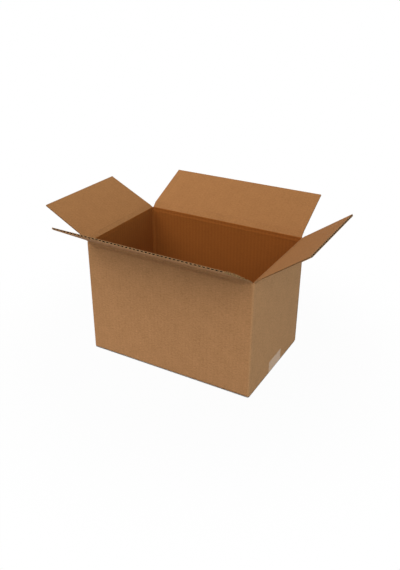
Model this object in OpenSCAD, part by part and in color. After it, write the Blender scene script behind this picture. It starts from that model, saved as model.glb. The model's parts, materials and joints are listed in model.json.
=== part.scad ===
// Open corrugated carton: four walls folded from one sheet, four top flaps that hang on their
// creases, four bottom flaps folded shut, and one strip of tape along the bottom seam.
// X runs along the long walls, Y from the front wall to the back wall, Z up from the table.
// The origin is the middle of the base.

/* [Carton] */
// Outside length, along X
box_length = 300; // [220:1:480]
// Outside width, along Y
box_width = 195; // [140:1:320]
// Height of the crease that the long flaps hang on
box_height = 202.5; // [120:0.5:400]
// Outside radius of the folded corners
corner_radius = 3.5; // [1.5:0.1:5]
// Leg of the bead that a score pushes up inside a fold
bead_leg = 3.5; // [1:0.1:6]

/* [Board] */
// Thickness of the corrugated board
board = 3; // [2.4:0.1:4.5]
// Thickness of each flat liner
liner = 0.35; // [0.2:0.05:0.5]
// Thickness of the waved sheet between the liners
medium = 0.3; // [0.2:0.05:0.45]
// Distance from one flute to the next
flute_pitch = 6.5; // [5:0.1:9]
// Width of the glue line where a flute's crest meets a liner
glue_line = 1.2; // [0.6:0.1:2]

/* [Top flaps] */
// Rise of the left flap above level, folded outwards
left_angle = 27; // [0:1:80]
// Rise of the right flap above level, folded outwards
right_angle = 36; // [0:1:80]
// Rise of the front flap above level, folded outwards
front_angle = 31; // [0:1:80]
// Rise of the back flap above level, folded outwards
back_angle = 26.5; // [0:0.5:80]
// Distance from a corner of the carton to the side edge of a flap, at its crease
flap_inset = 3.8; // [3.8:0.1:12]
// How far each side of a flap slopes in towards its free edge
flap_taper = 2.2; // [0.2:0.1:5]
// Gap between the edges of two long flaps that meet over or under the carton
meeting_gap = 1; // [0.4:0.1:4]
// Width of the crushed band on each side of a crease
crush_width = 5; // [4:0.5:10]
// Thickness that crushing leaves at a crease
crush_board = 1.2; // [0.6:0.1:2]
// Clearance on each side of a crease
crease_gap = 0.05; // [0.05:0.05:0.4]
// Clearance between flaps that lie on each other or beside a corner
ply_gap = 0.3; // [0.1:0.05:0.8]

/* [Glued joint] */
// Width of the tab that joins the ends of the sheet
tab_width = 32; // [20:1:45]
// How far the tab's ends slope in over its width
tab_taper = 8; // [2:1:15]
// Distance from the tab's ends to the creases and the floor
tab_end_gap = 9; // [7:1:20]
// Distance from the back wall's face to the raw edge that laps the tab
raw_edge_inset = 1; // [0.5:0.1:3]

/* [Sealing tape] */
// Width of the tape
tape_width = 48; // [36:1:75]
// Thickness of the tape
tape_thickness = 0.06; // [0.04:0.01:0.15]
// Film of adhesive behind the tape, and its clearance above the table
tape_film = 0.02; // [0.01:0.01:0.05]
// Height of the tape's ends on the short walls
tape_rise = 23; // [12:1:60]
// Distance that the tape lies off the seam, towards the back
tape_offset = 3; // [-8:0.5:8]
// Depth of the teeth that the cutter leaves on the tape's ends
tooth_depth = 0.9; // [0.4:0.1:2]
// Distance from one tooth to the next
tooth_pitch = 2; // [1:0.1:4]

/* [Hidden] */
$fn = 48;
kraft = "#A5784F";
kraft_shade = "#9A6D42";
clear_film = "#C9B79E";

// How far a cutting shape runs past the shape that it cuts
cut_over = 1;
// Straight steps in one flute's curve
flute_steps = 5;

half_length = box_length / 2;
half_width = box_width / 2;
// Setback of each mitred face from the line of its crease
mitre_lead = crease_gap * sqrt(2);
// Crease of the short flaps, one ply lower, so that the long flaps close over them
short_crease = box_height - board - ply_gap;
flap_depth = half_width - meeting_gap / 2;
post_leg = flap_inset - ply_gap;
long_flap_width = box_length - 2 * flap_inset;
short_flap_width = box_width - 2 * flap_inset;
// Underside of the bottom's inner flaps, and the floor that they make
inner_ply = board + ply_gap;
floor_height = inner_ply + board;
// Height of the short walls' fold above the table, which leaves room for the tape
tape_seat = tape_thickness + 2 * tape_film;
// Inside radius of the tape at the bottom fold
fold_radius = corner_radius / 2;
// Run of the joggle that lifts an inner flap over the outer ones
joggle_run = flap_inset - 2 * ply_gap;

// Crushed band and mitre at the top of a wall's section, for cutting
module crease_cut(crease) {
    polygon([
        [board + cut_over, crease - crush_width],
        [board, crease - crush_width],
        [crush_board, crease - mitre_lead - crush_board],
        [-cut_over, crease - mitre_lead + cut_over],
        [board + cut_over, crease + cut_over]
    ]);
}

// Everything outside the arc of an outer fold at the origin
module fold_cut(radius) {
    difference() {
        translate([-cut_over, -cut_over])
            square(radius + cut_over);
        translate([radius, radius])
            circle(radius);
    }
}

// Bead that the score pushes up in the inner corner of a fold
module bead(corner) {
    translate(corner)
        polygon([[-board / 2, -board / 2], [bead_leg, 0], [0, bead_leg]]);
}

// Section of a long wall and its outer bottom flap: across is inwards, up is up
module long_section() {
    difference() {
        union() {
            square([board, box_height]);
            square([flap_depth, board]);
            bead([board, board]);
        }
        fold_cut(corner_radius);
        crease_cut(box_height);
    }
}

// Section of a short wall and its inner bottom flap, which a joggle lifts over the outer flaps
module short_section() {
    difference() {
        union() {
            translate([0, fold_radius])
                square([board, short_crease - fold_radius]);
            translate([0, inner_ply])
                square([flap_depth, board]);
            translate([fold_radius, tape_seat + fold_radius])
                circle(fold_radius);
            polygon([
                [0, tape_seat + fold_radius],
                [fold_radius, tape_seat],
                [joggle_run, inner_ply],
                [joggle_run, floor_height],
                [0, floor_height]
            ]);
            bead([board, floor_height]);
        }
        translate([0, tape_seat])
            fold_cut(fold_radius);
        crease_cut(short_crease);
    }
}

// A wall's section run along the wall, with the wall's outer face at Y = 0 and inwards along +Y
module panel(run) {
    translate([run / 2, 0, 0])
        rotate([90, 0, -90])
            linear_extrude(run)
                mirror([1, 0])
                    children();
}

// Plan of a folded corner, with its outer corner at the origin
module folded_plan() {
    difference() {
        union() {
            square([post_leg, board]);
            square([board, post_leg]);
        }
        fold_cut(min(corner_radius, post_leg));
    }
}

// Plan of the corner where the back wall turns in behind the raw edge of the right wall
module joint_plan() {
    translate([0, raw_edge_inset])
        square([board, post_leg - raw_edge_inset]);
    translate([board, 0])
        difference() {
            union() {
                square([post_leg - board, board]);
                square([board / 2, post_leg]);
            }
            fold_cut(min(corner_radius, post_leg - board));
        }
}

// A corner of the walls, which ends where the slots between the flaps begin. Its bead ends
// lower, where the short flaps lie when they are closed.
module corner_post() {
    translate([-half_length, -half_width, fold_radius]) {
        linear_extrude(short_crease - fold_radius)
            children();
        linear_extrude(short_crease - inner_ply - fold_radius)
            bead([board, board]);
    }
}

// Tab on the back wall, glued inside the right wall, with sloping ends
module glue_tab() {
    reach = board + tab_width;
    low = floor_height + tab_end_gap;
    high = short_crease - crush_width - tab_end_gap;
    translate([half_length - board / 2, half_width, 0])
        rotate([90, 0, -90])
            linear_extrude(1.5 * board)
                polygon([
                    [board / 2, low],
                    [reach, low + tab_taper],
                    [reach, high - tab_taper],
                    [board / 2, high]
                ]);
}

// Shallow seat that the tape beds into under the outer bottom flaps
module tape_bed() {
    translate([-half_length, tape_offset - tape_width / 2 - ply_gap, -cut_over])
        cube([box_length, tape_width + 2 * ply_gap, tape_seat + cut_over]);
}

module box_body() {
    color(kraft)
        difference() {
            union() {
                for (turn = [0, 180])
                    rotate(turn) {
                        translate([0, -half_width, 0])
                            panel(box_length - 2 * post_leg)
                                long_section();
                        rotate(-90)
                            translate([0, -half_length, 0])
                                panel(box_width - 2 * post_leg)
                                    short_section();
                    }
                corner_post()
                    folded_plan();
                mirror([1, 0, 0])
                    corner_post()
                        folded_plan();
                mirror([0, 1, 0])
                    corner_post()
                        folded_plan();
                rotate(180)
                    corner_post()
                        joint_plan();
                glue_tab();
            }
            tape_bed();
        }
}

// Channel between the waved sheet and one liner, open over one pitch and centred on X = 0
module flute(pitch) {
    wave = (board - medium) / 2 - liner;
    span = pitch - glue_line;
    curve = [
        for (i = [0 : flute_steps])
            let (x = span * (i / flute_steps - 0.5))
                [x, (board + medium) / 2 - wave * cos(360 * x / pitch)]
    ];
    polygon(concat(curve, [[span / 2, board - liner], [-span / 2, board - liner]]));
}

// Open ends of all the flutes across a flap: the side edges cut through the middle of a flute
module flute_row(width) {
    count = round(width / flute_pitch);
    pitch = width / count;
    for (i = [0 : count])
        translate([i * pitch - width / 2, 0])
            flute(pitch);
    for (i = [0 : count - 1])
        translate([(i + 0.5) * pitch - width / 2, board])
            mirror([0, 1])
                flute(pitch);
}

// Section of a flap from its crease at the origin to its free edge: across is outwards
module flap_section() {
    start = 2 * crease_gap + mitre_lead;
    polygon([
        [start, 0],
        [flap_depth, 0],
        [flap_depth, board],
        [crush_width, board],
        [start + crush_board, crush_board]
    ]);
}

// Plan of the strip that the slot takes off the right side of a flap, for cutting
module slot_plan(width) {
    slope = flap_taper / flap_depth;
    polygon([
        [width / 2 + slope * cut_over, cut_over],
        [width / 2 - slope * (flap_depth + cut_over), -flap_depth - cut_over],
        [width / 2 + cut_over, -flap_depth - cut_over],
        [width / 2 + cut_over, cut_over]
    ]);
}

// A flap on its crease: the crease lies along X, and the flap reaches out along -Y
module flap(width, rise) {
    rotate([-rise, 0, 0])
        translate([0, 0, crease_gap])
            difference() {
                rotate([90, 0, -90])
                    translate([0, 0, -width / 2])
                        linear_extrude(width)
                            flap_section();
                translate([0, -crush_width, 0])
                    rotate([90, 0, 0])
                        linear_extrude(flap_depth - crush_width + cut_over)
                            flute_row(width);
                for (side = [0, 1])
                    mirror([side, 0, 0])
                        translate([0, 0, -cut_over])
                            linear_extrude(board + 2 * cut_over)
                                slot_plan(width);
            }
}

module top_flap_left() {
    color(kraft_shade)
        rotate(-90)
            translate([0, -half_length - crease_gap, short_crease])
                flap(short_flap_width, left_angle);
}

module top_flap_right() {
    color(kraft_shade)
        rotate(90)
            translate([0, -half_length - crease_gap, short_crease])
                flap(short_flap_width, right_angle);
}

module top_flap_front() {
    color(kraft_shade)
        translate([0, -half_width - crease_gap, box_height])
            flap(long_flap_width, front_angle);
}

module top_flap_back() {
    color(kraft_shade)
        rotate(180)
            translate([0, -half_width - crease_gap, box_height])
                flap(long_flap_width, back_angle);
}

// Half of the carton's end, rounded at the bottom fold, grown by a margin
module end_outline(margin) {
    reach = half_length + margin;
    radius = fold_radius + margin;
    foot = tape_seat - margin;
    translate([-reach, foot + radius])
        square([2 * reach, tape_rise - foot - radius]);
    translate([radius - reach, foot])
        square([2 * (reach - radius), tape_rise - foot]);
    for (side = [-1, 1])
        translate([side * (reach - radius), foot + radius])
            circle(radius);
}

// Teeth that the cutter leaves along both top edges, for cutting
module tape_teeth() {
    count = round(tape_width / tooth_pitch);
    pitch = tape_width / count;
    low = tape_rise - tooth_depth;
    zigzag = [
        for (i = [0 : 2 * count])
            [i * pitch / 2 - tape_width / 2, i % 2 == 0 ? tape_rise : low]
    ];
    ends = [[tape_width / 2, tape_rise + cut_over], [-tape_width / 2, tape_rise + cut_over]];
    rotate([90, 0, 90])
        linear_extrude(box_length + 4 * cut_over, center = true)
            polygon(concat(zigzag, ends));
}

module sealing_tape() {
    color(clear_film)
        translate([0, tape_offset, 0])
            difference() {
                translate([0, tape_width / 2, 0])
                    rotate([90, 0, 0])
                        linear_extrude(tape_width)
                            difference() {
                                end_outline(tape_film + tape_thickness);
                                end_outline(tape_film);
                            }
                tape_teeth();
            }
}

box_body();
top_flap_left();
top_flap_right();
top_flap_front();
top_flap_back();
sealing_tape();
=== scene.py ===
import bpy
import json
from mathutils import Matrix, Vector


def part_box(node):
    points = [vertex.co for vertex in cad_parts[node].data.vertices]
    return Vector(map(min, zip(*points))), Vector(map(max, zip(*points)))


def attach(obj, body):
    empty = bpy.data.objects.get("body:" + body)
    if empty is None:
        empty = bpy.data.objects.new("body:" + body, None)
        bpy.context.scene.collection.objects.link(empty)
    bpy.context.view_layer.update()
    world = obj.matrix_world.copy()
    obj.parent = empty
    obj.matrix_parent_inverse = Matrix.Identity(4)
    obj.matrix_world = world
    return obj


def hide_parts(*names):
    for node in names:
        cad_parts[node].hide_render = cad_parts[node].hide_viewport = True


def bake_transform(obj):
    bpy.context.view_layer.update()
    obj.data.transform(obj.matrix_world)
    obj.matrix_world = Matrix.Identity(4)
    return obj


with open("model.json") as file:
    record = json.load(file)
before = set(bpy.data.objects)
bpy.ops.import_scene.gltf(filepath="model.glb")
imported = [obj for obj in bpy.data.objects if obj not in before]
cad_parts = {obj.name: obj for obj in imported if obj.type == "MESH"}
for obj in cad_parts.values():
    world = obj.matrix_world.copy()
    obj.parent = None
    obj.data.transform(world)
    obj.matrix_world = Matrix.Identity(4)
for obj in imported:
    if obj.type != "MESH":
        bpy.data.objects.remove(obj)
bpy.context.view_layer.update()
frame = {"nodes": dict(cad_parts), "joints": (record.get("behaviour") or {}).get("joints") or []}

import json
import math
import random

import bmesh
import bpy
from mathutils import Matrix, Vector, noise

bl_info = {
    "name": "Open cardboard box",
    "version": (1, 0, 0),
    "blender": (4, 5, 0),
    "location": "View3D > Sidebar > Carton",
    "description": "Dresses the packed carton with fluted flaps, soft creases, kraft paper and tape",
    "category": "Object",
}

MM = 0.001
SIDES = ("left", "right", "front", "back")
JOINTS = {joint["child"]: joint for joint in frame["joints"]}
BOARD_MAP = "board"


def linear(code):
    """The linear colour of an sRGB hex code, with an alpha of one."""
    parts = [int(code[i:i + 2], 16) / 255 for i in (1, 3, 5)]
    return [c / 12.92 if c <= 0.04045 else ((c + 0.055) / 1.055) ** 2.4 for c in parts] + [1.0]


def smooth_step(low, high, value):
    """Rises softly from 0 at low to 1 at high."""
    t = min(1.0, max(0.0, (value - low) / (high - low)))
    return t * t * (3 - 2 * t)


class CartonBoardSettings(bpy.types.PropertyGroup):
    """Sizes of the corrugated board."""

    thickness: bpy.props.FloatProperty(
        name="Board", description="Thickness of the corrugated board", default=3.0 * MM, unit="LENGTH")
    lift: bpy.props.FloatProperty(
        name="Lift", description="Height of a flap's outer face over its fold line", default=0.05 * MM,
        unit="LENGTH")
    liner: bpy.props.FloatProperty(
        name="Liner", description="Thickness of each flat liner", default=0.45 * MM, unit="LENGTH")
    medium: bpy.props.FloatProperty(
        name="Medium", description="Thickness of the waved paper", default=0.3 * MM, unit="LENGTH")
    inner_press: bpy.props.FloatProperty(
        name="Inner press", description="How much thicker the inner liner is at the pressed cut",
        default=0.02 * MM, unit="LENGTH")
    outer_press: bpy.props.FloatProperty(
        name="Outer press", description="How much thicker the outer liner is at the pressed cut",
        default=0.12 * MM, unit="LENGTH")
    burr: bpy.props.FloatProperty(
        name="Burr", description="How far the inner liner stands up at a flap's free edge",
        default=0.15 * MM, unit="LENGTH")
    side_groove: bpy.props.FloatProperty(
        name="Side groove", description="How far the waved paper stands back at a flap's side cuts",
        default=0.1 * MM, unit="LENGTH")
    side_crush: bpy.props.FloatProperty(
        name="Side crush", description="How much the slotting knives thin a flap at its side cuts",
        default=1.1 * MM, unit="LENGTH")
    pitch: bpy.props.FloatProperty(
        name="Flute pitch", description="Distance from flute to flute", default=6.5 * MM, unit="LENGTH")
    washboard: bpy.props.FloatProperty(
        name="Washboard", description="Height of the faint waves that the flutes print on the liners",
        default=0.05 * MM, unit="LENGTH")
    cut_wander: bpy.props.FloatProperty(
        name="Cut wander", description="How far a cut edge strays from straight", default=0.12 * MM,
        unit="LENGTH")
    fray: bpy.props.FloatProperty(
        name="Fray", description="Reach of the torn fibres beside the front flap", default=1.2 * MM,
        unit="LENGTH")
    torn_press: bpy.props.FloatProperty(
        name="Torn press", description="Share of its thickness that the torn corner has lost",
        default=0.7, min=0, max=1, subtype="FACTOR")
    front_sag: bpy.props.FloatProperty(
        name="Front sag", description="How far the front flap's free edge hangs", default=1.0 * MM,
        unit="LENGTH")
    front_twist: bpy.props.FloatProperty(
        name="Front twist", description="How much more it hangs at its torn end, and less at the other",
        default=0.9 * MM, unit="LENGTH")
    long_lip: bpy.props.FloatProperty(
        name="Long lip", description="Height of the bent lip inside a long wall over its fold line",
        default=-2.4 * MM, unit="LENGTH")
    short_lip: bpy.props.FloatProperty(
        name="Short lip", description="Height of the bent lip inside a short wall over its fold line",
        default=0.9 * MM, unit="LENGTH")
    long_bend: bpy.props.FloatProperty(
        name="Long bend", description="Where the bend ends on a long flap", default=6.5 * MM,
        unit="LENGTH")
    short_bend: bpy.props.FloatProperty(
        name="Short bend", description="Where the bend ends on a short flap", default=5.0 * MM,
        unit="LENGTH")


class CartonColourSettings(bpy.types.PropertyGroup):
    """Colours of the papers and the tape."""

    outer_light: bpy.props.FloatVectorProperty(
        name="Outer liner, light", description="Pale clouds of the liner outside the box",
        subtype="COLOR", size=4, min=0, max=1, default=linear("#C28D5E"))
    outer_dark: bpy.props.FloatVectorProperty(
        name="Outer liner, dark", description="Darker fibres of the liner outside the box",
        subtype="COLOR", size=4, min=0, max=1, default=linear("#A3754C"))
    # The inner liner is the outer kraft drawn darker and warmer: painted shade on the flaps' inner faces.
    inner_pale_painted_shade: bpy.props.FloatVectorProperty(
        name="Inner liner, light", description="Pale clouds of the liner inside the box",
        subtype="COLOR", size=4, min=0, max=1, default=linear("#A77345"))
    inner_dark_painted_shade: bpy.props.FloatVectorProperty(
        name="Inner liner, dark", description="Darker fibres of the liner inside the box",
        subtype="COLOR", size=4, min=0, max=1, default=linear("#91633A"))
    # The inside of the four walls is the same kraft drawn darker and richer: painted shade of the deep
    # box.
    depth_pale_painted_shade: bpy.props.FloatVectorProperty(
        name="Inside, light", description="Pale clouds of the liner inside the four walls",
        subtype="COLOR", size=4, min=0, max=1, default=linear("#9A5823"))
    depth_dark_painted_shade: bpy.props.FloatVectorProperty(
        name="Inside, dark", description="Darker fibres of the liner inside the four walls",
        subtype="COLOR", size=4, min=0, max=1, default=linear("#8A4E1E"))
    cut_edge: bpy.props.FloatVectorProperty(
        name="Cut edge", description="Freshly cut paper at the edges", subtype="COLOR", size=4,
        min=0, max=1, default=linear("#A27A54"))
    torn_edge: bpy.props.FloatVectorProperty(
        name="Torn edge", description="Fibres of the torn corner", subtype="COLOR", size=4,
        min=0, max=1, default=linear("#B88B5A"))
    # The waved medium's colour is nearly black: painted shade of the flute channels.
    painted_shade_fluting: bpy.props.FloatVectorProperty(
        name="Fluting", description="Waved paper inside the board", subtype="COLOR", size=4,
        min=0, max=1, default=linear("#2E1C0D"))
    tape_haze: bpy.props.FloatVectorProperty(
        name="Tape haze", description="Milky look of the clear tape", subtype="COLOR", size=4,
        min=0, max=1, default=linear("#C49F75"))


class CartonStageSettings(bpy.types.PropertyGroup):
    """Camera and light."""

    lens: bpy.props.FloatProperty(
        name="Lens", description="Focal length of the camera", default=39.82, unit="CAMERA")
    camera_at: bpy.props.FloatVectorProperty(
        name="Camera", description="Place of the camera", subtype="TRANSLATION", size=3,
        default=(0.47229, -0.82887, 0.60702))
    camera_aim: bpy.props.FloatVectorProperty(
        name="Aim", description="Point in the middle of the picture", subtype="TRANSLATION", size=3,
        default=(0.03705, -0.05319, 0.14998))
    camera_roll: bpy.props.FloatProperty(
        name="Roll", description="Turn of the camera about its own axis", default=math.radians(0.379),
        subtype="ANGLE")
    ambient: bpy.props.FloatProperty(
        name="Ambient", description="Strength of the even white surround", default=0.05)
    front_window: bpy.props.FloatProperty(
        name="Front window", description="Strength of the high light in front", default=2.55)
    side_window: bpy.props.FloatProperty(
        name="Side window", description="Strength of the low daylight from the right", default=2.85)
    back_window: bpy.props.FloatProperty(
        name="Back window", description="Strength of the low light behind", default=0.5)
    top_power: bpy.props.FloatProperty(
        name="Top light", description="Power of the softbox overhead", default=9.8, subtype="POWER")
    side_colour: bpy.props.FloatVectorProperty(
        name="Side colour", description="Cool daylight from the right", subtype="COLOR", size=4,
        min=0, max=1, default=linear("#CBE9FF"))


def add_node(tree, kind, inputs=(), **settings):
    """Adds a node with its settings; an input that is a socket is linked, any other is set."""
    made = tree.nodes.new(kind)
    for name, value in settings.items():
        setattr(made, name, value)
    for socket, value in dict(inputs).items():
        if isinstance(value, bpy.types.NodeSocket):
            tree.links.new(value, made.inputs[socket])
        else:
            made.inputs[socket].default_value = value
    return made


def new_material(name):
    """An empty node material."""
    made = bpy.data.materials.new(name)
    made.use_nodes = True
    made.node_tree.nodes.clear()
    return made


def kraft_liner(name, dark, light, print_depth):
    """Kraft linerboard, the flat brown paper on both faces of the board.

    The eye sees a matte brown sheet with soft clouds of fibre, fine streaks along the machine
    direction and the faint lines that the flutes print through.
    """
    if name in bpy.data.materials:
        return bpy.data.materials[name]
    made = new_material(name)
    tree = made.node_tree
    board = bpy.context.scene.carton_board
    place = add_node(tree, "ShaderNodeUVMap", uv_map=BOARD_MAP).outputs["UV"]
    # Clouds of denser fibre are 20 to 30 mm across.
    clouds = add_node(tree, "ShaderNodeTexNoise", {
        "Vector": place, "Scale": 1 / 0.024, "Detail": 3.0, "Roughness": 0.55})
    # Fibres are about 3 mm by 0.05 mm. They are drawn 7 mm by 1.4 mm, so that they show.
    along = add_node(tree, "ShaderNodeMapping", {
        "Vector": place, "Scale": (1 / 0.007, 1 / 0.0014, 1.0)})
    fibres = add_node(tree, "ShaderNodeTexNoise", {
        "Vector": along.outputs["Vector"], "Scale": 1.0, "Detail": 2.0, "Roughness": 0.6})
    # Specks of bark and darker fibre are 1 to 2 mm across. They are drawn 2.5 mm, so that they show.
    specks = add_node(tree, "ShaderNodeTexNoise", {
        "Vector": place, "Scale": 1 / 0.0025, "Detail": 2.0, "Roughness": 0.7})
    # The flutes print through as lines one pitch apart.
    across = add_node(tree, "ShaderNodeSeparateXYZ", {"Vector": place})
    phase = add_node(tree, "ShaderNodeMath", {
        0: across.outputs["X"], 1: 2 * math.pi / board.pitch}, operation="MULTIPLY")
    lines = add_node(tree, "ShaderNodeMath", {0: phase.outputs[0]}, operation="COSINE")
    cloudy = add_node(tree, "ShaderNodeMath", {
        0: clouds.outputs["Fac"], 1: 0.6, 2: 0.2}, operation="MULTIPLY_ADD")
    streaky = add_node(tree, "ShaderNodeMath", {
        0: fibres.outputs["Fac"], 1: 1.2, 2: -0.6}, operation="MULTIPLY_ADD")
    speckled = add_node(tree, "ShaderNodeMath", {
        0: specks.outputs["Fac"], 1: 1.4, 2: -0.7}, operation="MULTIPLY_ADD")
    printed = add_node(tree, "ShaderNodeMath", {
        0: lines.outputs[0], 1: print_depth}, operation="MULTIPLY")
    first = add_node(tree, "ShaderNodeMath", {
        0: cloudy.outputs[0], 1: streaky.outputs[0]}, operation="ADD")
    second = add_node(tree, "ShaderNodeMath", {
        0: first.outputs[0], 1: speckled.outputs[0]}, operation="ADD")
    tone = add_node(tree, "ShaderNodeMath", {
        0: second.outputs[0], 1: printed.outputs[0]}, operation="ADD", use_clamp=True)
    colour = add_node(tree, "ShaderNodeMix", {
        0: tone.outputs[0], 6: dark, 7: light}, data_type="RGBA")
    relief = add_node(tree, "ShaderNodeBump", {
        "Strength": 0.35, "Distance": 0.0002, "Height": fibres.outputs["Fac"]})
    dull = add_node(tree, "ShaderNodeMath", {
        0: specks.outputs["Fac"], 1: 0.16, 2: 0.74}, operation="MULTIPLY_ADD")
    paper = add_node(tree, "ShaderNodeBsdfPrincipled", {
        "Base Color": colour.outputs[2], "Roughness": dull.outputs[0],
        "Specular IOR Level": 0.08, "Sheen Weight": 0.02, "Sheen Roughness": 0.25,
        "Normal": relief.outputs["Normal"]})
    add_node(tree, "ShaderNodeOutputMaterial", {"Surface": paper.outputs["BSDF"]})
    return made


def outer_liner():
    """The outer liner: plain kraft, paler than the inner liners, whose darker tone is painted shade."""
    colours = bpy.context.scene.carton_colours
    return kraft_liner("kraft_outer_liner", colours.outer_dark, colours.outer_light, 0.04)


def inner_liner_painted_shade():
    """The inner liner: kraft of a darker, warmer brown than the outer liner; this darker, warmer tone is
    painted shade.
    """
    colours = bpy.context.scene.carton_colours
    return kraft_liner("kraft_inner_liner", colours.inner_dark_painted_shade, colours.inner_pale_painted_shade, 0.04)


def wall_liner_painted_shade():
    """The inner liner on the walls: the same kraft, darker and richer in colour down in the box; this
    darker tone is painted shade.
    """
    colours = bpy.context.scene.carton_colours
    return kraft_liner("kraft_wall_liner", colours.depth_dark_painted_shade, colours.depth_pale_painted_shade, 0.2)


def plain_paper(name, colour, grain, contrast):
    """A rough paper of one colour with a grain of that size in metres, for edges and fluting."""
    if name in bpy.data.materials:
        return bpy.data.materials[name]
    made = new_material(name)
    tree = made.node_tree
    place = add_node(tree, "ShaderNodeTexCoord").outputs["Object"]
    fuzz = add_node(tree, "ShaderNodeTexNoise", {
        "Vector": place, "Scale": 1 / grain, "Detail": 2.0, "Roughness": 0.6})
    spread = add_node(tree, "ShaderNodeMapRange", {
        "Value": fuzz.outputs["Fac"], "From Min": 0.3, "From Max": 0.7,
        "To Min": 0.0, "To Max": 1.0})
    dark = [c * (1 - contrast) for c in colour[:3]] + [1.0]
    mixed = add_node(tree, "ShaderNodeMix", {
        0: spread.outputs["Result"], 6: dark, 7: colour}, data_type="RGBA")
    relief = add_node(tree, "ShaderNodeBump", {
        "Strength": 0.4, "Distance": 0.0002, "Height": fuzz.outputs["Fac"]})
    paper = add_node(tree, "ShaderNodeBsdfPrincipled", {
        "Base Color": mixed.outputs[2], "Roughness": 0.92, "Specular IOR Level": 0.08,
        "Normal": relief.outputs["Normal"]})
    add_node(tree, "ShaderNodeOutputMaterial", {"Surface": paper.outputs["BSDF"]})
    return made


def cut_edge_paper():
    """Cut kraft paper: pale, furry fibre ends with no sheen."""
    return plain_paper("cut_kraft_edge", bpy.context.scene.carton_colours.cut_edge, 0.0012, 0.25)


def torn_paper():
    """Torn kraft paper: pale fibre ends and brown gaps, mottled and furry."""
    return plain_paper("torn_kraft_edge", bpy.context.scene.carton_colours.torn_edge, 0.003, 0.8)


def painted_shade_fluting_paper():
    """The waved medium: a dull brown paper drawn nearly black, which is painted shade of the flute
    channels.
    """
    return plain_paper("fluting_medium", bpy.context.scene.carton_colours.painted_shade_fluting, 0.003, 0.2)


def packing_tape():
    """Clear polypropylene packing tape: a glossy film that turns milky where glue holds air.

    The film is 0.06 mm thick and lies flat on the board, so the kraft and the seam that show
    through it are drawn in its own colour; the seam's dark line is painted shade of the gap.
    """
    name = "clear_packing_tape"
    if name in bpy.data.materials:
        return bpy.data.materials[name]
    made = new_material(name)
    tree = made.node_tree
    colours = bpy.context.scene.carton_colours
    place = add_node(tree, "ShaderNodeTexCoord").outputs["Object"]
    # Clouds of the board below are 20 to 30 mm across.
    clouds = add_node(tree, "ShaderNodeTexNoise", {
        "Vector": place, "Scale": 1 / 0.024, "Detail": 3.0, "Roughness": 0.55})
    kraft = add_node(tree, "ShaderNodeMix", {
        0: clouds.outputs["Fac"], 6: colours.outer_dark, 7: colours.outer_light}, data_type="RGBA")
    # The seam of the bottom flaps is 1 mm wide; the shade in its gap is painted as a dark line in the
    # medium's nearly black colour.
    spot = add_node(tree, "ShaderNodeSeparateXYZ", {"Vector": place})
    aside = add_node(tree, "ShaderNodeMath", {0: spot.outputs["Y"]}, operation="ABSOLUTE")
    near = add_node(tree, "ShaderNodeMapRange", {
        "Value": aside.outputs[0], "From Min": 0.0003, "From Max": 0.0008,
        "To Min": 0.65, "To Max": 0.0})
    under = add_node(tree, "ShaderNodeMath", {0: spot.outputs["Z"], 1: 0.001}, operation="LESS_THAN")
    seam = add_node(tree, "ShaderNodeMath", {
        0: near.outputs["Result"], 1: under.outputs[0]}, operation="MULTIPLY")
    kraft_and_painted_seam_shade = add_node(tree, "ShaderNodeMix", {
        0: seam.outputs[0], 6: kraft.outputs[2], 7: colours.painted_shade_fluting}, data_type="RGBA")
    # Air under the film lies in soft patches about 9 mm across.
    patches = add_node(tree, "ShaderNodeTexNoise", {
        "Vector": place, "Scale": 1 / 0.009, "Detail": 2.0, "Roughness": 0.5})
    cover = add_node(tree, "ShaderNodeMapRange", {
        "Value": patches.outputs["Fac"], "From Min": 0.3, "From Max": 0.7,
        "To Min": 0.16, "To Max": 0.34})
    milky = add_node(tree, "ShaderNodeMix", {
        0: cover.outputs["Result"], 6: kraft_and_painted_seam_shade.outputs[2], 7: colours.tape_haze}, data_type="RGBA")
    gloss = add_node(tree, "ShaderNodeMapRange", {
        "Value": patches.outputs["Fac"], "From Min": 0.3, "From Max": 0.7,
        "To Min": 0.28, "To Max": 0.4})
    film = add_node(tree, "ShaderNodeBsdfPrincipled", {
        "Base Color": milky.outputs[2], "Roughness": gloss.outputs["Result"], "IOR": 1.49,
        "Specular IOR Level": 0.35})
    add_node(tree, "ShaderNodeOutputMaterial", {"Surface": film.outputs["BSDF"]})
    return made


def place_piece(bm, name, materials):
    """Turns a bmesh into an object at the origin and returns it."""
    bmesh.ops.recalc_face_normals(bm, faces=bm.faces[:])
    if bm.calc_volume(signed=True) < 0:
        bmesh.ops.reverse_faces(bm, faces=bm.faces[:])
    mesh = bpy.data.meshes.new(name)
    bm.to_mesh(mesh)
    bm.free()
    for material in materials:
        mesh.materials.append(material)
    mesh.shade_smooth()
    mesh.set_sharp_from_angle(angle=math.radians(35))
    made = bpy.data.objects.new(name, mesh)
    bpy.context.scene.collection.objects.link(made)
    return made


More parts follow.
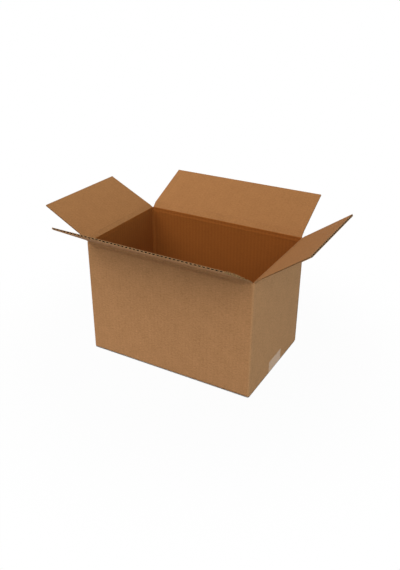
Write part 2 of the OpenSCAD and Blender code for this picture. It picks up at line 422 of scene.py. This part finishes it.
class FlapPlan:
    """Where one flap's fold lies, how it is turned at rest and how large the flap is."""

    # The torn corner is crushed to full depth this near its side, and not at all this far from it.
    CRUSH_NEAR = 3 * MM
    CRUSH_FAR = 20 * MM
    # Along the torn side the crushing fades out from the fold to here.
    CRUSH_END = 75 * MM

    def __init__(self, side):
        self.side = side
        self.node = "top_flap_" + side
        self.body = side + "_flap"
        joint = JOINTS[self.body]
        self.pivot = Vector(joint["pos_m"])
        self.along = -Vector(joint["axis"])
        self.rise = math.pi + math.radians(joint["range_deg"][0])
        upright = Vector((0, 0, 1))
        level = upright.cross(self.along)
        self.level_out = level if self.pivot.xy.dot(level.xy) >= 0 else -level
        self.out = self.level_out * math.cos(self.rise) + upright * math.sin(self.rise)
        self.inner = upright * math.cos(self.rise) - self.level_out * math.sin(self.rise)
        low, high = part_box(self.node)
        self.width = abs((high - low).dot(self.along))
        points = [v.co for v in frame["nodes"][self.node].data.vertices]
        self.depth = max((p - self.pivot).dot(self.out) for p in points)
        free = [p for p in points if (p - self.pivot).dot(self.out) > self.depth - 0.5 * MM]
        self.taper = self.width / 2 - max((p - self.pivot).dot(self.along) for p in free)
        board = bpy.context.scene.carton_board
        self.flutes = round(self.width / board.pitch)
        is_long = side in ("front", "back")
        self.lip = board.long_lip if is_long else board.short_lip
        self.bend = board.long_bend if is_long else board.short_bend
        self.full = board.thickness + board.lift
        self.floor = board.lift
        self.press = board.torn_press if side == "front" else 0.0

    def half(self, out):
        """Half the flap's width at that distance from the fold."""
        return self.width / 2 - self.taper * max(0.0, out) / self.depth

    def inner_height(self, out):
        """Height of the inner face over the outer one, lower where the bend leads down to the lip."""
        lip = self.section(self.full, self.lip) - self.pivot
        lip_out = lip.dot(self.out)
        lip_height = lip.dot(self.inner)
        share = (out - lip_out) / (self.bend - lip_out)
        return min(self.full, lip_height + (self.full - lip_height) * share)

    def pressed(self, along, out, height):
        """A height over the outer face, lower towards the torn corner where the board is crushed."""
        beside = 1 - smooth_step(self.CRUSH_NEAR, self.CRUSH_FAR, along + self.half(out))
        near = 1 - smooth_step(0, self.CRUSH_END, out)
        return height - max(0.0, height - self.floor) * self.press * beside * near

    def flap_matrix(self):
        """From flap coordinates, along, out and up from the outer face, to the frame."""
        turned = Matrix((self.along, self.out, self.inner)).transposed().to_4x4()
        return Matrix.Translation(self.pivot) @ turned

    def section(self, inward, up):
        """A point given by its distance inwards and upwards from the fold line."""
        return self.pivot - self.level_out * inward + Vector((0, 0, up))

    def flap_section(self, out, height):
        """A point given by its distance from the fold line and over the flap's outer face."""
        return self.pivot + self.out * out + self.inner * height


def uneven(position, seed, reach):
    """A smooth, fixed wander of a cut edge."""
    wave_length = 4 * MM
    return reach * noise.noise(Vector((position / wave_length, seed, 0.5)))


def add_paper(bm, columns, stations, shape, face_index, rim_index, side_indices):
    """Adds one closed sheet of paper.

    shape(share, station) gives its upper and its lower point, for a share of its width from 0 to 1
    and each of the stations along it.
    """
    rows = len(stations) - 1
    lower = bmesh.ops.create_grid(bm, x_segments=columns, y_segments=rows, size=0.5)["verts"]
    bottom = list({face for vert in lower for face in vert.link_faces})
    raised = bmesh.ops.extrude_face_region(bm, geom=bottom, use_keep_orig=True)["geom"]
    upper = [part for part in raised if isinstance(part, bmesh.types.BMVert)]
    top = [part for part in raised if isinstance(part, bmesh.types.BMFace)]
    for face in {face for vert in lower for face in vert.link_faces}:
        across = face.calc_center_median().x
        face.material_index = rim_index if abs(across) < 0.4999 else side_indices[across > 0]
    for face in bottom + top:
        face.material_index = face_index
    for verts, level in ((upper, 0), (lower, 1)):
        for vert in verts:
            row = round((vert.co.y + 0.5) * rows)
            vert.co = shape(vert.co.x + 0.5, stations[row])[level]


def map_board(bm, across, up):
    """Gives every corner its place on the flat sheet, in metres, as the map that patterns follow."""
    layer = bm.loops.layers.uv.new(BOARD_MAP)
    for face in bm.faces:
        for loop in face.loops:
            loop[layer].uv = (across(loop.vert.co, face), up(loop.vert.co, face))


class CARTON_OT_board(bpy.types.Operator):
    """Builds the walls, corners, glued tab and bottom flaps of the folded sheet"""

    bl_idname = "carton.board"
    bl_label = "Carton board"

    # The washboard waves fade in above the tape and fade out below the folds of the flaps.
    FADE_IN = (26 * MM, 40 * MM)
    FADE_OUT = (20 * MM, 9 * MM)
    LAST_ROW = 11 * MM
    # The walls are plain beside their rounded corners.
    CORNER = 8 * MM
    CUTS_PER_FLUTE = 4

    def execute(self, context):
        board = context.scene.carton_board
        bm = bmesh.new()
        bm.from_mesh(frame["nodes"]["box_body"].data)
        bmesh.ops.remove_doubles(bm, verts=bm.verts[:], dist=1e-6)
        bmesh.ops.dissolve_limit(
            bm, angle_limit=math.radians(0.3), verts=bm.verts[:], edges=bm.edges[:])
        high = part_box("box_body")[1]
        for axis, across in ((1, 0), (0, 1)):
            self.score_wall(bm, axis, across, high, board)
        self.print_flutes(bm, high, board)
        map_board(bm, self.across, self.up)
        # Faces behind the middle of the board, seen from outside, show the inner liner in its darker
        # copy, whose tone is painted shade.
        for face in bm.faces:
            middle = face.calc_center_median()
            inside = middle.z > 0.9 * board.thickness
            for axis in (0, 1):
                inside = inside and abs(middle[axis]) < high[axis] - 0.8 * board.thickness
            face.material_index = 1 if inside else 0
        made = place_piece(bm, "carton_board", [outer_liner(), wall_liner_painted_shade()])
        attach(made, "carton")
        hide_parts("box_body")
        return {"FINISHED"}

    def score_wall(self, bm, axis, across, high, board):
        """Cuts the wall faces that look along axis into columns and rows."""
        reach = high[across] - self.CORNER
        step = board.pitch / self.CUTS_PER_FLUTE
        count = int(reach / step)
        cuts = [(across, k * step) for k in range(-count, count + 1)]
        cuts += [(2, height) for height in self.FADE_IN]
        cuts += [(2, high[2] - drop) for drop in (self.FADE_OUT[0], self.LAST_ROW)]
        for direction, place in cuts:
            point = Vector((0, 0, 0))
            point[direction] = place
            normal = Vector((0, 0, 0))
            normal[direction] = 1.0
            walls = [f for f in bm.faces if abs(f.normal[axis]) > 0.99
                     and abs(f.calc_center_median()[axis]) > high[axis] - 2 * board.thickness
                     and f.calc_center_median().z > 2 * board.thickness]
            parts = set(walls)
            parts.update(edge for face in walls for edge in face.edges)
            parts.update(vert for face in walls for vert in face.verts)
            bmesh.ops.bisect_plane(
                bm, geom=list(parts), dist=1e-7, plane_co=point, plane_no=normal)

    def print_flutes(self, bm, high, board):
        """Raises the washboard waves on the walls, fading out towards the folds."""
        moves = []
        for vert in bm.verts:
            normals = [face.normal for face in vert.link_faces]
            axis = 0 if abs(normals[0].x) > 0.99 else 1
            if any(abs(n[axis]) < 0.99 for n in normals):
                continue
            if abs(vert.co[axis]) < high[axis] - 2 * board.thickness:
                continue
            fade = smooth_step(*self.FADE_IN, vert.co.z)
            fade *= 1 - smooth_step(high[2] - self.FADE_OUT[0], high[2] - self.FADE_OUT[1], vert.co.z)
            wave = math.cos(2 * math.pi * vert.co[1 - axis] / board.pitch)
            moves.append((vert, normals[0] * (board.washboard * fade * wave)))
        for vert, move in moves:
            vert.co += move

    @staticmethod
    def across(point, face):
        """Place across the flutes, which run up the walls and from fold to cut in the bottom flaps."""
        if abs(face.normal.z) > 0.7:
            short = point.z > 1.5 * bpy.context.scene.carton_board.thickness
            return point.y if short else point.x
        return point.y if abs(face.normal.x) > abs(face.normal.y) else point.x

    @staticmethod
    def up(point, face):
        """Place along the flutes."""
        if abs(face.normal.z) > 0.7:
            short = point.z > 1.5 * bpy.context.scene.carton_board.thickness
            return point.x if short else point.y
        return point.z


class CARTON_OT_flaps(bpy.types.Operator):
    """Builds the four top flaps from two liners and a waved medium, with open flutes at their cuts"""

    bl_idname = "carton.flaps"
    bl_label = "Top flaps"

    # Places of the papers in a flap's list of materials
    OUTER, CUT, FLUTING, INNER, TORN = range(5)
    # Rows of a sheet, as distances from the free edge in mm
    EDGE_ROWS = (3.0, 1.6, 0.7, 0.0)
    # Closer to the fold the medium would meet the wall's top when the flap is shut.
    FOLD_ROWS = (2.1 * MM, 3.2 * MM)
    OUTER_START = 1.6 * MM
    # The cutter presses the board from the first to the second of these distances from the free edge.
    CUT_ZONE = (3 * MM, 0.5 * MM)
    MIDDLE_ROWS = 18
    # Columns to a flute
    LINER_COLUMNS = 4
    MEDIUM_COLUMNS = 10
    # The torn liner's edge strays up and down by this much.
    RAGGED_RISE = 0.8 * MM
    TUFTS = 130
    TUFT_LENGTH = (1.5 * MM, 5.0 * MM)
    TUFT_RADIUS = (0.45 * MM, 0.12 * MM)

    def execute(self, context):
        for side in SIDES:
            self.build(FlapPlan(side), context.scene.carton_board)
        return {"FINISHED"}

    def build(self, plan, board):
        """Builds one flap, flat in its own coordinates, and turns it into its place at rest."""
        bm = bmesh.new()
        pitch = plan.width / plan.flutes
        seed = 3.7 * (SIDES.index(plan.side) + 1)
        depth = plan.depth
        start = plan.bend - 0.5 * MM
        end = depth - 5 * MM
        middle = [start + (end - start) * k / self.MIDDLE_ROWS for k in range(self.MIDDLE_ROWS + 1)]
        edge = [depth - reach * MM for reach in self.EDGE_ROWS]
        torn = plan.side == "front"

        def place(share, out, level):
            """Where a sheet's point lies along and out, with its wandering edges."""
            along = (2 * share - 1) * plan.half(out)
            if share < 0.001 or share > 0.999:
                inwards = abs(uneven(out, seed + level + share, board.cut_wander))
                along += inwards if share < 0.5 else -inwards
            if out > depth - 0.01 * MM:
                out -= abs(uneven(along, seed + level, board.cut_wander))
            return along, out

        def wave(along):
            """The flutes, from 1 to -1."""
            return math.cos(2 * math.pi * (along + plan.width / 2) / pitch)

        def printed(along, out):
            """The washboard waves, which fade out at the fold."""
            fade = smooth_step(plan.bend, plan.bend + 8 * MM, out)
            return board.washboard * wave(along) * fade

        def at_cut(out):
            """One at the free edge, where the cutter pressed the board, and zero further in."""
            return smooth_step(depth - self.CUT_ZONE[0], depth - self.CUT_ZONE[1], out)

        def liner(out, press):
            """Thickness of a liner."""
            return board.liner + press * at_cut(out)

        def crushed(along, out):
            """How much thinner the board is beside the side cuts."""
            near = 1 - smooth_step(0, 3 * MM, plan.half(out) - abs(along))
            return board.side_crush * near * smooth_step(2 * MM, 12 * MM, out)

        def inside(share, out):
            """The inner liner."""
            along, place_out = place(share, out, 1)
            if torn and share < 0.001:
                along -= board.fray * max(0.0, noise.noise(Vector((out / (3 * MM), 1, seed))))
                ragged_top = self.RAGGED_RISE * noise.noise(Vector((out / (2.6 * MM), 4, seed)))
            else:
                ragged_top = 0.0
            burr = board.burr * smooth_step(depth - 1.6 * MM, depth - 0.2 * MM, out)
            top = plan.full - printed(along, out) + burr + ragged_top
            bottom = top - burr - liner(out, board.inner_press)
            return Vector((along, place_out, top)), Vector((along, place_out, bottom))

        def outside(share, out):
            """The outer liner."""
            along, place_out = place(share, out, 2)
            bottom = board.lift - printed(along, out) * 0.5 + crushed(along, out)
            top = bottom + liner(out, board.outer_press)
            return Vector((along, place_out, top)), Vector((along, place_out, bottom))

        def painted_shade_fluting(share, out):
            """The waved medium."""
            along, place_out = place(share, min(out, depth - 0.35 * MM), 3)
            groove = board.side_groove
            along = min(along, plan.half(out) - groove)
            along = along if torn else max(along, groove - plan.half(out))
            low = board.lift + crushed(along, out) + liner(out, board.outer_press)
            high = plan.inner_height(out) - liner(out, board.inner_press)
            cut = at_cut(out)
            swing = (high - low - board.medium) / 2
            crest = max(-1.0, min(1.0, (1 + 0.6 * cut) * wave(along) + 0.45 * cut))
            # The side cuts are pressed shut beside the fold, and the torn one all along.
            beside = plan.half(out) - abs(along)
            shut = 1 - smooth_step(0.5 * MM, 2 * MM, beside)
            shut *= 1 - smooth_step(6 * MM, 14 * MM, out)
            if torn and along < 0:
                shut = max(shut, 1 - smooth_step(1 * MM, 3 * MM, beside))
            crest = crest * (1 - shut) - shut
            cut = max(cut, shut)
            rise = low + board.medium + swing - swing * crest
            # The lower flutes are pressed flatter than the upper ones at the cut.
            under = (rise - board.medium) * (1 - 0.75 * cut) + low * 0.75 * cut
            return Vector((along, place_out, rise)), Vector((along, place_out, under))

        liner_columns = plan.flutes * self.LINER_COLUMNS
        for shape, rows, columns, face, plain_side in (
                (inside, middle + edge, liner_columns, self.INNER, self.INNER),
                (outside, [self.OUTER_START] + middle + edge, liner_columns, self.OUTER, self.OUTER),
                (painted_shade_fluting, list(self.FOLD_ROWS) + middle[::3] + edge, plan.flutes * self.MEDIUM_COLUMNS,
                 self.FLUTING, self.CUT)):
            torn_side = self.TORN if torn else plain_side
            add_paper(bm, columns, rows, shape, face, self.CUT, (torn_side, plain_side))
        if torn:
            self.torn_fibres(bm, plan)
        map_board(bm, lambda p, f: p.x, lambda p, f: plan.pivot.z + p.y)
        if torn:
            self.crush_and_lean(bm, plan, board)
        bmesh.ops.transform(bm, matrix=plan.flap_matrix(), verts=bm.verts[:])
        # The medium's faces take the nearly black paper, which is painted shade of the flute channels.
        made = place_piece(bm, plan.side + "_flap_board", [
            outer_liner(), cut_edge_paper(), painted_shade_fluting_paper(), inner_liner_painted_shade(), torn_paper()])
        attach(made, plan.body)
        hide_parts(plan.node)

    def crush_and_lean(self, bm, plan, board):
        """Crushes the torn corner and lets the free edge sag and twist."""
        for vert in bm.verts:
            vert.co.z = plan.pressed(*vert.co)
            lean = board.front_sag - board.front_twist * 2 * vert.co.x / plan.width
            vert.co.z -= lean * max(0.0, vert.co.y) / plan.depth

    def torn_fibres(self, bm, plan):
        """Adds the pale tufts that stand out where the slot beside the front flap tore the liner."""
        chance = random.Random(11)
        for _ in range(self.TUFTS):
            out = chance.uniform(12 * MM, plan.depth - 1 * MM)
            long = chance.uniform(*self.TUFT_LENGTH)
            tuft = bmesh.ops.create_cone(
                bm, cap_ends=True, segments=5, radius1=self.TUFT_RADIUS[0], radius2=self.TUFT_RADIUS[1],
                depth=long)["verts"]
            lean = Matrix.Rotation(chance.uniform(-1.1, 1.1), 4, "Z")
            tip = Matrix.Rotation(math.radians(chance.uniform(-30, 15)), 4, "Y")
            spot = Vector((-plan.half(out), out, plan.full - chance.uniform(0.1, 0.7) * MM))
            bmesh.ops.transform(bm, matrix=Matrix.Translation(spot) @ lean @ tip, verts=tuft)
            for face in {face for vert in tuft for face in vert.link_faces}:
                face.material_index = self.TORN


class CARTON_OT_creases(bpy.types.Operator):
    """Builds the bent paper of the four creases, which joins each wall to its flap"""

    bl_idname = "carton.creases"
    bl_label = "Creases"

    # Rows of the inside skin: drops below the lip in mm, then shares of the way up to the flap.
    DROPS = (9, 5, 2.5, 1.2, 0.45)
    SHARES = (0.05, 0.14, 0.3, 0.5, 0.7, 0.9)
    # The skins stand this far proud of the board, so that they cover it.
    PROUD = 0.04 * MM
    INSIDE_THICKNESS = -0.25 * MM
    OUTSIDE_THICKNESS = 0.2 * MM
    # The bend starts and ends this far from the fold line outside, and its skin lies flat to here.
    OUTSIDE_BEND = 0.8 * MM
    OUTSIDE_REACH = 4 * MM
    # The inside skin has all of the flap's turn from this share of the way up on.
    TURNED = 0.72
    # The crushed board below it reaches this share of the way down to the fold line.
    FILL = 0.9
    # The skins stop this far inside the side cuts.
    END_GAP = 0.02 * MM

    def execute(self, context):
        for side in SIDES:
            self.build(FlapPlan(side), context.scene.carton_board)
        return {"FINISHED"}

    def build(self, plan, board):
        """Builds the inside and the outside skin of one crease."""
        face = plan.full + self.PROUD
        lip = plan.section(face, plan.lip)
        landing = plan.flap_section(plan.bend, face)
        inner = [plan.section(face, plan.lip - drop * MM) for drop in self.DROPS]
        inner += [lip.lerp(landing, share) for share in self.SHARES]
        inner += [landing, plan.flap_section(plan.bend + 1.5 * MM, face)]
        # Below the lip the inside skin takes the walls' darker kraft, whose tone is painted shade.
        papers = [wall_liner_painted_shade(), inner_liner_painted_shade(), cut_edge_paper()]
        self.bend(plan, "inside", inner, self.INSIDE_THICKNESS, papers, len(self.DROPS),
                  inner[2], lip.lerp(landing, self.TURNED), range(2, len(inner) - 1))
        low = board.lift - self.PROUD
        below = plan.section(low, -self.OUTSIDE_BEND)
        beyond = plan.flap_section(self.OUTSIDE_BEND, low)
        outer = [plan.section(low, -self.OUTSIDE_REACH), below]
        outer += [(below + beyond) * 0.3 + plan.pivot * 0.4]
        outer += [beyond, plan.flap_section(self.OUTSIDE_REACH, low)]
        self.bend(plan, "outside", outer, self.OUTSIDE_THICKNESS, [outer_liner()], len(outer),
                  outer[1], outer[3])

    def bend(self, plan, name, rows, thickness, papers, second, start, end, filled=()):
        """One liner where it crosses the fold, through the given points of its section.

        From the row second on, it takes the second of the papers. In the filled rows the crushed
        board under it reaches down to the fold line, and its ends show the last of the papers.
        """
        bm = bmesh.new()
        ends = len(papers) - 1 if filled else 0

        def shape(share, row):
            """The skin, with its normal across the section."""
            out = (rows[row] - plan.pivot).dot(plan.out)
            along = plan.along * ((2 * share - 1) * (plan.half(out) - self.END_GAP))
            before = rows[max(0, row - 1)]
            after = rows[min(len(rows) - 1, row + 1)]
            normal = (after - before).normalized().cross(plan.along)
            upper = rows[row] + along
            if row in filled:
                return upper, upper.lerp(plan.pivot + along, self.FILL)
            return upper, upper + normal * thickness

        add_paper(bm, plan.flutes, list(range(len(rows))), shape, 0, 0, (ends, ends))
        for vert in bm.verts:
            offset = vert.co - plan.pivot
            height = offset.dot(plan.inner)
            lower = plan.pressed(offset.dot(plan.along), offset.dot(plan.out), height)
            vert.co += plan.inner * (lower - height)
        layer = bm.loops.layers.uv.new(BOARD_MAP)
        border = (rows[min(second, len(rows) - 1)] - plan.pivot).z
        for face in bm.faces:
            above = face.calc_center_median().z - plan.pivot.z > border - 0.3 * MM
            if above and second < len(rows) and face.material_index == 0:
                face.material_index = 1
            for loop in face.loops:
                offset = loop.vert.co - plan.pivot
                height = max(offset.dot(plan.out), offset.z)
                loop[layer].uv = (offset.dot(plan.along), plan.pivot.z + height)
        made = place_piece(bm, plan.side + "_crease_" + name, papers)
        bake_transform(made)
        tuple(start)
        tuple(end)


class CARTON_OT_tape(bpy.types.Operator):
    """Gives the strip of tape along the bottom seam its clear film"""

    bl_idname = "carton.tape"
    bl_label = "Sealing tape"

    def execute(self, context):
        strip = frame["nodes"]["sealing_tape"]
        strip.data.materials.clear()
        strip.data.materials.append(packing_tape())
        return {"FINISHED"}


class CARTON_OT_stage(bpy.types.Operator):
    """Sets up the white floor, the soft light and the camera"""

    bl_idname = "carton.stage"
    bl_label = "Stage"

    # Lights of the surround: the way they lie, and where they start and are full, sideways and in height
    SIDE_PANE = ((1, 0, 0), (0.3, 0.9), (0.7, 0.0))
    FRONT_PANE = ((0.1, -0.99, 0), (0.15, 0.6), (0.26, 0.58))
    BACK_PANE = ((-0.6, 0.8, 0), (0.0, 0.8), (0.7, 0.0))
    SOFTBOX_AT = (-0.9, -0.1, 1.4)
    SOFTBOX_AIM = (0, 0, 0.1)
    SOFTBOX_SIZE = 0.8
    FLOOR_RADIUS = 30.0
    # The floor lies this far below the box, so that the two don't share a face.
    FLOOR_DROP = 0.2 * MM
    # Radius of the box's corners on the floor, and how far the shade stays inside its outline
    CORNER = 3.5 * MM
    SHADE_INSET = 0.3 * MM

    def execute(self, context):
        stage = context.scene.carton_stage
        self.floor()
        self.surround(context.scene, stage)
        self.softbox("top_softbox", self.SOFTBOX_AT, self.SOFTBOX_AIM, self.SOFTBOX_SIZE, stage.top_power)
        self.camera(context.scene, stage)
        context.scene.view_settings.view_transform = "Standard"
        return {"FINISHED"}

    def floor(self):
        """A matte pale floor. Seen by the camera it is near white, with a soft shadow by the box."""
        made = new_material("white_paper_sweep")
        tree = made.node_tree
        place = add_node(tree, "ShaderNodeTexCoord").outputs["Object"]
        far = add_node(tree, "ShaderNodeVectorMath", {0: place}, operation="LENGTH")
        plain = add_node(tree, "ShaderNodeMapRange", {
            "Value": far.outputs["Value"], "From Min": 0.2, "From Max": 0.5,
            "To Min": 0.97, "To Max": 1.0}, interpolation_type="SMOOTHSTEP")
        seen = self.seen_plainly(tree)
        # The floor under the box, whose corners are round, is in its shade.
        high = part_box("box_body")[1]
        across = add_node(tree, "ShaderNodeVectorMath", {0: place}, operation="ABSOLUTE")
        beyond = add_node(tree, "ShaderNodeVectorMath", {
            0: across.outputs[0], 1: (high.x - self.CORNER, high.y - self.CORNER, 1.0)},
            operation="SUBTRACT")
        outside = add_node(tree, "ShaderNodeVectorMath", {
            0: beyond.outputs[0], 1: (0, 0, 0)}, operation="MAXIMUM")
        reach = add_node(tree, "ShaderNodeVectorMath", {0: outside.outputs[0]}, operation="LENGTH")
        clear = add_node(tree, "ShaderNodeMath", {
            0: reach.outputs["Value"], 1: self.CORNER - self.SHADE_INSET}, operation="GREATER_THAN")
        bright = add_node(tree, "ShaderNodeMath", {
            0: clear.outputs[0], 1: plain.outputs["Result"]}, operation="MULTIPLY")
        share = add_node(tree, "ShaderNodeMath", {
            0: seen, 1: bright.outputs[0]}, operation="MULTIPLY")
        paper = add_node(tree, "ShaderNodeBsdfDiffuse", {"Color": linear("#B0B0AE")})
        white = add_node(tree, "ShaderNodeEmission", {"Color": (1, 1, 1, 1), "Strength": 1.0})
        both = add_node(tree, "ShaderNodeMixShader", {
            0: share.outputs[0], 1: paper.outputs[0], 2: white.outputs[0]})
        add_node(tree, "ShaderNodeOutputMaterial", {"Surface": both.outputs[0]})
        bm = bmesh.new()
        bmesh.ops.create_circle(bm, cap_ends=True, segments=96, radius=self.FLOOR_RADIUS)
        bmesh.ops.translate(bm, verts=bm.verts[:], vec=(0, 0, -self.FLOOR_DROP))
        ground = place_piece(bm, "floor", [made])

    def surround(self, scene, stage):
        """A dim surround with light from three sides, which the camera sees as plain white."""
        world = bpy.data.worlds.new("white_surround")
        world.use_nodes = True
        tree = world.node_tree
        tree.nodes.clear()
        place = add_node(tree, "ShaderNodeTexCoord").outputs["Generated"]
        side = self.pane(tree, place, *self.SIDE_PANE, stage.side_window)
        daylight = add_node(tree, "ShaderNodeVectorMath", {
            0: list(stage.side_colour)[:3], "Scale": side}, operation="SCALE")
        front = self.pane(tree, place, *self.FRONT_PANE, stage.front_window)
        back = self.pane(tree, place, *self.BACK_PANE, stage.back_window)
        ends = add_node(tree, "ShaderNodeMath", {0: front, 1: back}, operation="ADD")
        plain = add_node(tree, "ShaderNodeMath", {0: ends.outputs[0], 1: stage.ambient}, operation="ADD")
        glow = add_node(tree, "ShaderNodeVectorMath", {
            0: daylight.outputs[0], 1: plain.outputs[0]}, operation="ADD")
        lit = add_node(tree, "ShaderNodeBackground", {"Color": glow.outputs[0], "Strength": 1.0})
        white = add_node(tree, "ShaderNodeBackground", {"Color": (1, 1, 1, 1), "Strength": 1.0})
        both = add_node(tree, "ShaderNodeMixShader", {
            0: self.seen_plainly(tree), 1: lit.outputs[0], 2: white.outputs[0]})
        add_node(tree, "ShaderNodeOutputWorld", {"Surface": both.outputs[0]})
        scene.world = world

    def seen_plainly(self, tree):
        """One for rays from the camera, and for those that it sees in gloss or through a film."""
        rays = add_node(tree, "ShaderNodeLightPath")
        first = add_node(tree, "ShaderNodeMath", {
            0: rays.outputs["Is Camera Ray"], 1: rays.outputs["Is Glossy Ray"]}, operation="MAXIMUM")
        return add_node(tree, "ShaderNodeMath", {
            0: first.outputs[0], 1: rays.outputs["Is Transmission Ray"]}, operation="MAXIMUM").outputs[0]

    def pane(self, tree, place, toward, reach, height, strength):
        """Light from one side of the surround."""
        way = add_node(tree, "ShaderNodeSeparateXYZ", {"Vector": place})
        aside = add_node(tree, "ShaderNodeVectorMath", {0: place, 1: toward}, operation="DOT_PRODUCT")
        beside = add_node(tree, "ShaderNodeMapRange", {
            "Value": aside.outputs["Value"], "From Min": reach[0], "From Max": reach[1],
            "To Min": 0.0, "To Max": strength}, interpolation_type="SMOOTHSTEP")
        level = add_node(tree, "ShaderNodeMapRange", {
            "Value": way.outputs["Z"], "From Min": height[0], "From Max": height[1],
            "To Min": 0.0, "To Max": 1.0}, interpolation_type="SMOOTHSTEP")
        return add_node(tree, "ShaderNodeMath", {
            0: beside.outputs["Result"], 1: level.outputs["Result"]}, operation="MULTIPLY").outputs[0]

    def softbox(self, name, at, aim, size, power):
        """A square white softbox that faces its aim."""
        lamp = bpy.data.lights.new(name, "AREA")
        lamp.size = size
        lamp.energy = power
        made = bpy.data.objects.new(name, lamp)
        made.location = at
        made.rotation_euler = (Vector(aim) - Vector(at)).to_track_quat("-Z", "Y").to_euler()
        bpy.context.scene.collection.objects.link(made)

    def camera(self, scene, stage):
        """The camera at the photograph's viewing angle."""
        lens = bpy.data.cameras.new("camera")
        lens.lens = stage.lens
        lens.sensor_width = 36.0
        made = bpy.data.objects.new("camera", lens)
        at = Vector(stage.camera_at)
        turn = (Vector(stage.camera_aim) - at).to_track_quat("-Z", "Y").to_matrix().to_4x4()
        made.matrix_world = Matrix.Translation(at) @ turn @ Matrix.Rotation(stage.camera_roll, 4, "Z")
        scene.collection.objects.link(made)
        scene.camera = made


class VIEW3D_PT_carton(bpy.types.Panel):
    """Sizes, colours and steps of the carton"""

    bl_label = "Carton"
    bl_idname = "VIEW3D_PT_carton"
    bl_space_type = "VIEW_3D"
    bl_region_type = "UI"
    bl_category = "Carton"

    def draw(self, context):
        for group in (context.scene.carton_board, context.scene.carton_colours,
                      context.scene.carton_stage):
            box = self.layout.box()
            for name in group.bl_rna.properties.keys():
                if name not in ("rna_type", "name"):
                    box.prop(group, name)
        for operator in STEPS:
            self.layout.operator(operator.bl_idname)


STEPS = (CARTON_OT_board, CARTON_OT_flaps, CARTON_OT_creases, CARTON_OT_tape, CARTON_OT_stage)
SETTINGS = (
    ("carton_board", CartonBoardSettings),
    ("carton_colours", CartonColourSettings),
    ("carton_stage", CartonStageSettings),
)
CLASSES = tuple(group for _, group in SETTINGS) + STEPS + (VIEW3D_PT_carton,)


def register():
    for item in CLASSES:
        bpy.utils.register_class(item)
    for name, group in SETTINGS:
        setattr(bpy.types.Scene, name, bpy.props.PointerProperty(type=group))


def unregister():
    for name, _ in SETTINGS:
        delattr(bpy.types.Scene, name)
    for item in reversed(CLASSES):
        bpy.utils.unregister_class(item)


def main():
    register()
    bpy.ops.carton.board()
    bpy.ops.carton.flaps()
    bpy.ops.carton.creases()
    bpy.ops.carton.tape()
    bpy.ops.carton.stage()


if __name__ == "__main__":
    main()
